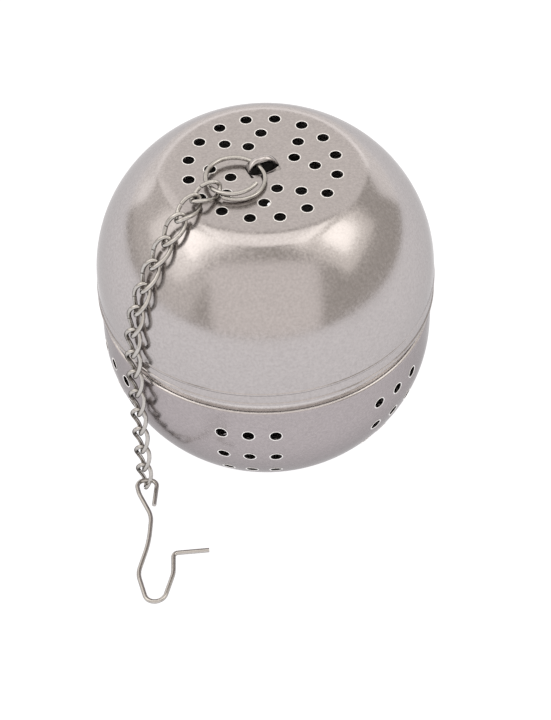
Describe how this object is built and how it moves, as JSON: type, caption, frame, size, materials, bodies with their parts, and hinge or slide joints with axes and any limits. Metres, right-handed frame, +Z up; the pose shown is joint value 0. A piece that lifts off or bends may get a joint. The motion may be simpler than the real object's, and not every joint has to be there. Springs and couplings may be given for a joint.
{
  "type": "tea infuser ball",
  "caption": "Two-part perforated steel tea infuser ball with a screw-on lid, a wire ring, a curb chain and a hook for the cup rim.",
  "frame": {"origin": "centre of the bowl's flat base, on the surface that the ball stands on", "axes": "+Z up along the axis of the ball, -Y to the front, the chain hangs at the front left"},
  "size_m": [0.0502, 0.0651, 0.0508],
  "materials": {
    "lid_steel": "polished dome and skirt with a satin top",
    "bowl_steel": "polished",
    "wire_steel": "bright drawn wire"
  },
  "bodies": {
    "bowl": {"lower_bowl": "bowl_steel"},
    "lid": {"upper_shell": "lid_steel"},
    "ring": {"split_ring": "wire_steel"},
    "link_01": {"chain_link_01": "wire_steel"},
    "link_02": {"chain_link_02": "wire_steel"},
    "link_03": {"chain_link_03": "wire_steel"},
    "link_04": {"chain_link_04": "wire_steel"},
    "link_05": {"chain_link_05": "wire_steel"},
    "link_06": {"chain_link_06": "wire_steel"},
    "link_07": {"chain_link_07": "wire_steel"},
    "link_08": {"chain_link_08": "wire_steel"},
    "link_09": {"chain_link_09": "wire_steel"},
    "link_10": {"chain_link_10": "wire_steel"},
    "link_11": {"chain_link_11": "wire_steel"},
    "link_12": {"chain_link_12": "wire_steel"},
    "link_13": {"chain_link_13": "wire_steel"},
    "link_14": {"chain_link_14": "wire_steel"},
    "link_15": {"chain_link_15": "wire_steel"},
    "hook": {"hook": "wire_steel"}
  },
  "joints": [
    {"name": "lid_lift", "type": "slide", "parent": "bowl", "child": "lid", "axis": [0, 0, 1], "range_m": [0, 0.035]},
    {"name": "ring_flip", "type": "hinge", "parent": "lid", "child": "ring", "pos_m": [-0.0009, 0, 0.04938], "axis": [-0.7071, 0.7071, 0], "range_deg": [0, 150]},
    {"name": "link_01_lift", "type": "hinge", "parent": "ring", "child": "link_01", "pos_m": [-0.00686, -0.00542, 0.04976], "axis": [-0.6347, 0.7727, 0], "range_deg": [0, 18]},
    {"name": "link_02_swing", "type": "hinge", "parent": "link_01", "child": "link_02", "pos_m": [-0.00937, -0.00775, 0.04986], "axis": [-0.3669, -0.3397, 0.866], "range_deg": [-12, 12]},
    {"name": "link_03_lift", "type": "hinge", "parent": "link_02", "child": "link_03", "pos_m": [-0.01144, -0.0106, 0.04914], "axis": [-0.6794, 0.7337, 0], "range_deg": [0, 25]},
    {"name": "link_04_swing", "type": "hinge", "parent": "link_03", "child": "link_04", "pos_m": [-0.01359, -0.01258, 0.04654], "axis": [-0.536, -0.4963, 0.6829], "range_deg": [-20, 20]},
    {"name": "link_05_lift", "type": "hinge", "parent": "link_04", "child": "link_05", "pos_m": [-0.01544, -0.0143, 0.04384], "axis": [-0.6794, 0.7337, 0], "range_deg": [0, 25]},
    {"name": "link_06_swing", "type": "hinge", "parent": "link_05", "child": "link_06", "pos_m": [-0.01695, -0.0157, 0.04077], "axis": [-0.6667, -0.6174, 0.4175], "range_deg": [-20, 20]},
    {"name": "link_07_lift", "type": "hinge", "parent": "link_06", "child": "link_07", "pos_m": [-0.01809, -0.01675, 0.03741], "axis": [-0.6794, 0.7337, 0], "range_deg": [0, 25]},
    {"name": "link_08_swing", "type": "hinge", "parent": "link_07", "child": "link_08", "pos_m": [-0.01881, -0.01742, 0.03385], "axis": [-0.73, -0.676, 0.1001], "range_deg": [-20, 20]},
    {"name": "link_09_lift", "type": "hinge", "parent": "link_08", "child": "link_09", "pos_m": [-0.01911, -0.0177, 0.02974], "axis": [-0.6794, 0.7337, 0], "range_deg": [0, 30]},
    {"name": "link_10_swing", "type": "hinge", "parent": "link_09", "child": "link_10", "pos_m": [-0.01911, -0.0177, 0.02561], "axis": [-0.7337, -0.6794, 0], "range_deg": [-20, 20]},
    {"name": "link_11_lift", "type": "hinge", "parent": "link_10", "child": "link_11", "pos_m": [-0.01911, -0.0177, 0.02147], "axis": [-0.6794, 0.7337, 0], "range_deg": [0, 30]},
    {"name": "link_12_swing", "type": "hinge", "parent": "link_11", "child": "link_12", "pos_m": [-0.01911, -0.0177, 0.01734], "axis": [-0.7337, -0.6794, 0], "range_deg": [-20, 20]},
    {"name": "link_13_lift", "type": "hinge", "parent": "link_12", "child": "link_13", "pos_m": [-0.01911, -0.0177, 0.0132], "axis": [-0.6794, 0.7337, 0], "range_deg": [0, 30]},
    {"name": "link_14_swing", "type": "hinge", "parent": "link_13", "child": "link_14", "pos_m": [-0.01911, -0.0177, 0.00907], "axis": [-0.7337, -0.6794, 0], "range_deg": [-20, 20]},
    {"name": "link_15_lift", "type": "hinge", "parent": "link_14", "child": "link_15", "pos_m": [-0.01911, -0.0177, 0.00493], "axis": [-0.6794, 0.7337, 0], "range_deg": [0, 30]},
    {"name": "hook_swing", "type": "hinge", "parent": "link_15", "child": "hook", "pos_m": [-0.01891, -0.01757, 0.00147], "axis": [-1, 0, 0], "range_deg": [-90, 50]}
  ]
}
